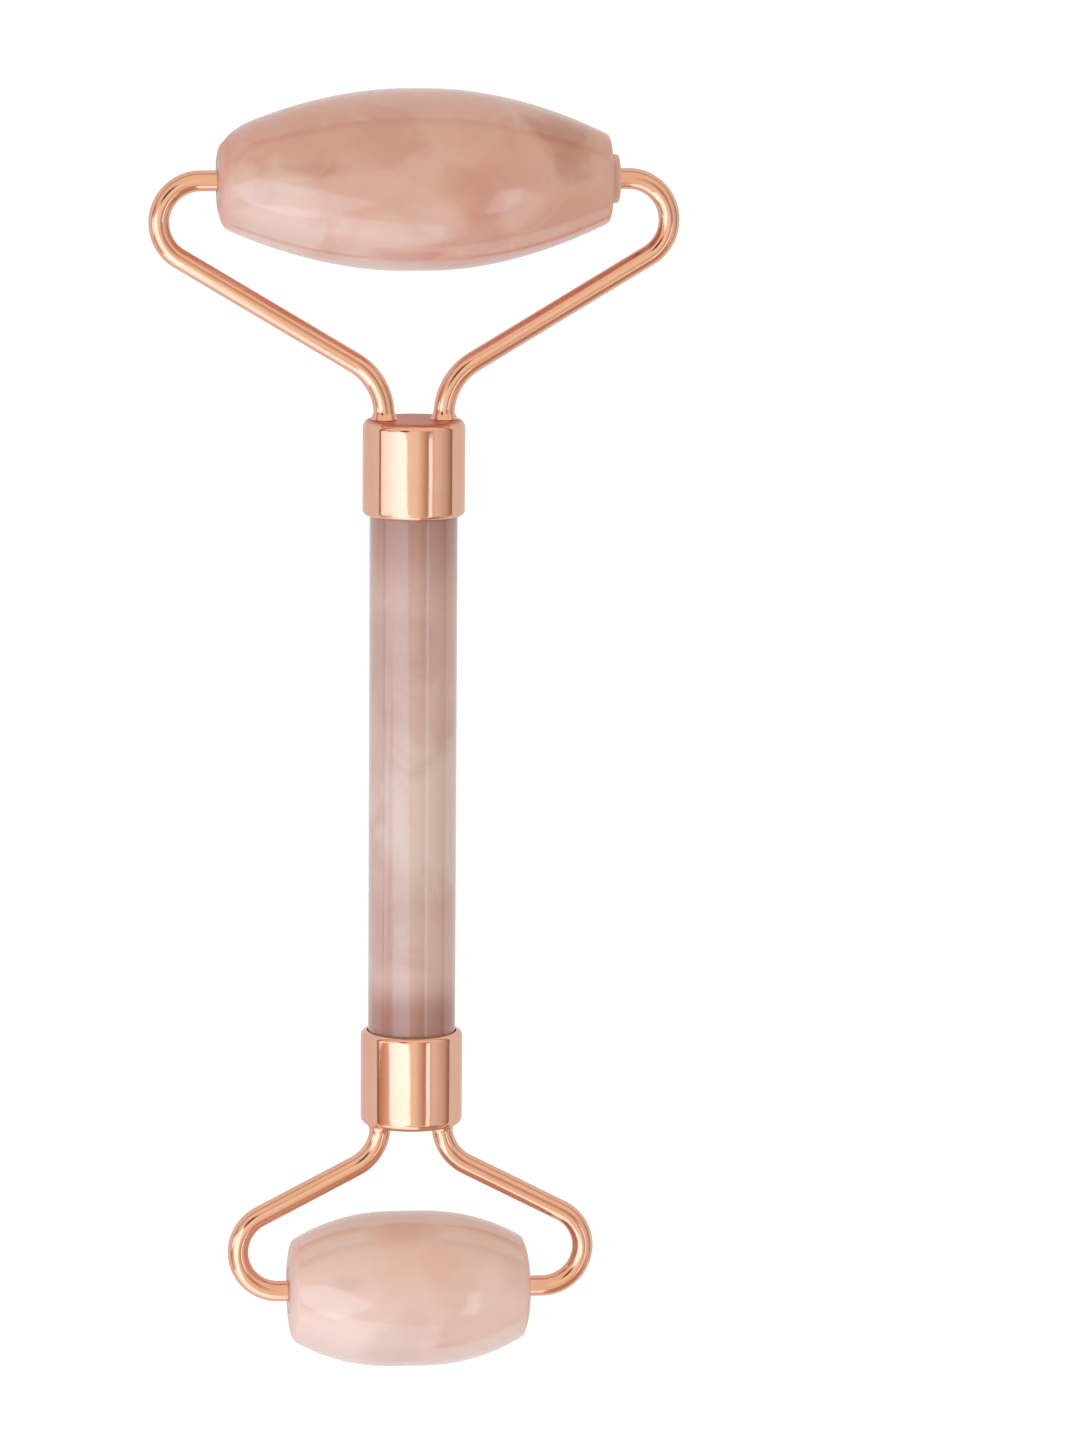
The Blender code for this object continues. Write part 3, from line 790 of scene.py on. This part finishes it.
# Each unlit corner: direction, angles where it's full and gone, colour, strength.
WORLD_CORNERS = (
    ((-0.42, 0.33, 0.845), math.radians(5.0), math.radians(14.0), rgb(0.12, 0.06, 0.04), 1.0),
    ((0.48, -0.75, 0.45), math.radians(12.0), math.radians(34.0), rgb(0.46, 0.29, 0.20), 0.85),
)
# What the camera sees past the floor, and the floor's two greys, half its side and its glow: the weaker one
# lights the object, and the camera sees the stronger one.
BACKDROP = rgb(0.95, 0.95, 0.95)
FLOOR_LIGHT = rgb(0.31, 0.31, 0.31)
FLOOR_DARK = rgb(0.30, 0.30, 0.30)
FLOOR_REACH = 3.0
FLOOR_GLOW = 0.50
FLOOR_SEEN_GLOW = 0.88


def make_camera():
    """A camera nearly straight over the handle, a little to its left and towards its large end."""
    back = Vector((
        -math.sin(CAMERA_YAW) * math.cos(CAMERA_PITCH),
        math.sin(CAMERA_PITCH),
        math.cos(CAMERA_YAW) * math.cos(CAMERA_PITCH),
    ))
    up = (Vector((0.0, 1.0, 0.0)) - back * back.y).normalized()
    right = up.cross(back)
    rolled_right = right * math.cos(CAMERA_ROLL) + up * math.sin(CAMERA_ROLL)
    rolled_up = up * math.cos(CAMERA_ROLL) - right * math.sin(CAMERA_ROLL)
    turn = Matrix((rolled_right, rolled_up, back)).transposed().to_4x4()
    place = Matrix.Translation(CAMERA_AIM + back * CAMERA_DISTANCE)
    camera = bpy.data.objects.new("camera", bpy.data.cameras.new("camera"))
    bpy.context.scene.collection.objects.link(camera)
    camera.data.lens = CAMERA_LENS
    camera.data.clip_start = CAMERA_NEAR
    camera.matrix_world = HANDLE @ place @ turn
    bpy.context.scene.camera = camera


def panel(name, corner, across, down, size, radiance):
    """A rectangular softbox that hangs down from one top corner. Its brightness is given as radiance."""
    data = bpy.data.lights.new(name, "AREA")
    data.shape = "RECTANGLE"
    data.size, data.size_y = size
    data.energy = radiance * math.pi * size[0] * size[1]
    data.color = COOL
    across = Vector(across).normalized()
    down = Vector(down)
    down = (down - across * down.dot(across)).normalized()
    back = down.cross(across)
    turn = Matrix((across, -down, back)).transposed().to_4x4()
    middle = Vector(corner) + across * size[0] / 2 + down * size[1] / 2
    light = bpy.data.objects.new(name, data)
    bpy.context.scene.collection.objects.link(light)
    light.matrix_world = Matrix.Translation(middle) @ turn
    light.visible_camera = False


def make_lights():
    """A tall softbox on the left in two parts, one in front, and smaller ones at the right and the back."""
    for settings in PANELS:
        panel(*settings)


def make_world():
    """Soft surroundings: a band of tints across the middle, plain walls before and behind it with a dark
    skirting, and two unlit corners of the room."""
    world = bpy.data.worlds.new("studio")
    bpy.context.scene.world = world
    n = Nodes("studio", world)
    where = n.add("ShaderNodeTexCoord").outputs["Generated"]
    x, y, z = n.add("ShaderNodeSeparateXYZ", {"Vector": where}).outputs
    angle = n.math("ARCTAN2", x, z)
    reach = math.radians(WORLD_REACH)
    band = n.add("ShaderNodeValToRGB", {"Fac": n.ramp(angle, -reach, reach, smooth=False)})
    elements = band.color_ramp.elements
    while len(elements) < len(WORLD_BAND):
        elements.new(0.5)
    for element, (degrees, colour) in zip(elements, WORLD_BAND):
        element.position = 0.5 + 0.5 * degrees / WORLD_REACH
        element.color = (*colour, 1.0)
    wall = n.mix(n.ramp(z, *FOOT_FADE), WALL_FOOT, WALL)
    colour = n.mix(n.ramp(n.math("ABSOLUTE", y), *BAND_FADE), band.outputs["Color"], wall)
    for centre, near, far, tint, strength in WORLD_CORNERS:
        closeness = n.add("ShaderNodeVectorMath", operation="DOT_PRODUCT")
        n.feed(closeness.inputs[0], where)
        n.feed(closeness.inputs[1], Vector(centre).normalized())
        shade = n.ramp(closeness.outputs["Value"], math.cos(far), math.cos(near), 0.0, strength)
        colour = n.mix(shade, colour, tint)
    seen = n.add("ShaderNodeLightPath").outputs["Is Camera Ray"]
    n.feed(n.tree.nodes["Background"].inputs["Color"], n.mix(seen, colour, BACKDROP))


def make_floor():
    """The plain pale floor that the rollers rest on."""
    n = Nodes("pale_floor")
    grain = n.noise(n.place(), 30.0, detail=4.0)
    colour = n.mix(n.ramp(grain, 0.3, 0.7), FLOOR_LIGHT, FLOOR_DARK)
    seen = n.add("ShaderNodeLightPath").outputs["Is Camera Ray"]
    glow = n.ramp(seen, 0.0, 1.0, FLOOR_GLOW, FLOOR_SEEN_GLOW, smooth=False)
    n.set(Base_Color=colour, Roughness=0.9, Emission_Color=rgb(1.0, 1.0, 1.0), Emission_Strength=glow)
    bm = bmesh.new()
    bmesh.ops.create_grid(bm, x_segments=1, y_segments=1, size=FLOOR_REACH)
    floor = add_object("floor", bm)
    floor.data.materials.append(n.material)


def build():
    """Every piece, then the stage. A material's number shifts its noise, so that no two look alike."""
    rod = quartz("rose_quartz_rod", 0.37, ROD_QUARTZ, ROD_DEPTH, ROD_PATCHES, ROD_END_SHADES)
    large = quartz("rose_quartz_large", 0.11, LARGE_QUARTZ, ROLLER_DEPTH, LARGE_PATCHES_AND_PAINTED_LIGHT)
    small = quartz("rose_quartz_small", 0.64, SMALL_QUARTZ, ROLLER_DEPTH, SMALL_PATCHES_AND_PAINTED_LIGHT)
    stones = {"upper": large, "lower": small}
    make_rod(rod)
    plastic = nylon("nylon")
    glue = epoxy("epoxy")
    for index, (name, end) in enumerate(ENDS.items()):
        face = handle_reach(f"{name}_ferrule", end["side"])[1]
        make_ferrule(name, end, rose_gold(f"rose_gold_{name}_cup", index * 0.31, face))
        carry_over(f"{name}_glue_plug", glue)
        make_stone(end, stones[name])
        wire = rose_gold(f"rose_gold_{name}_wires", 0.17 + index * 0.31)
        for hand in (-1, 1):
            make_arm(name, end, hand, wire)
            make_sleeve(end, hand, plastic)
    make_floor()
    make_lights()
    make_world()
    make_camera()
    bpy.context.scene.view_settings.view_transform = "Standard"


build()
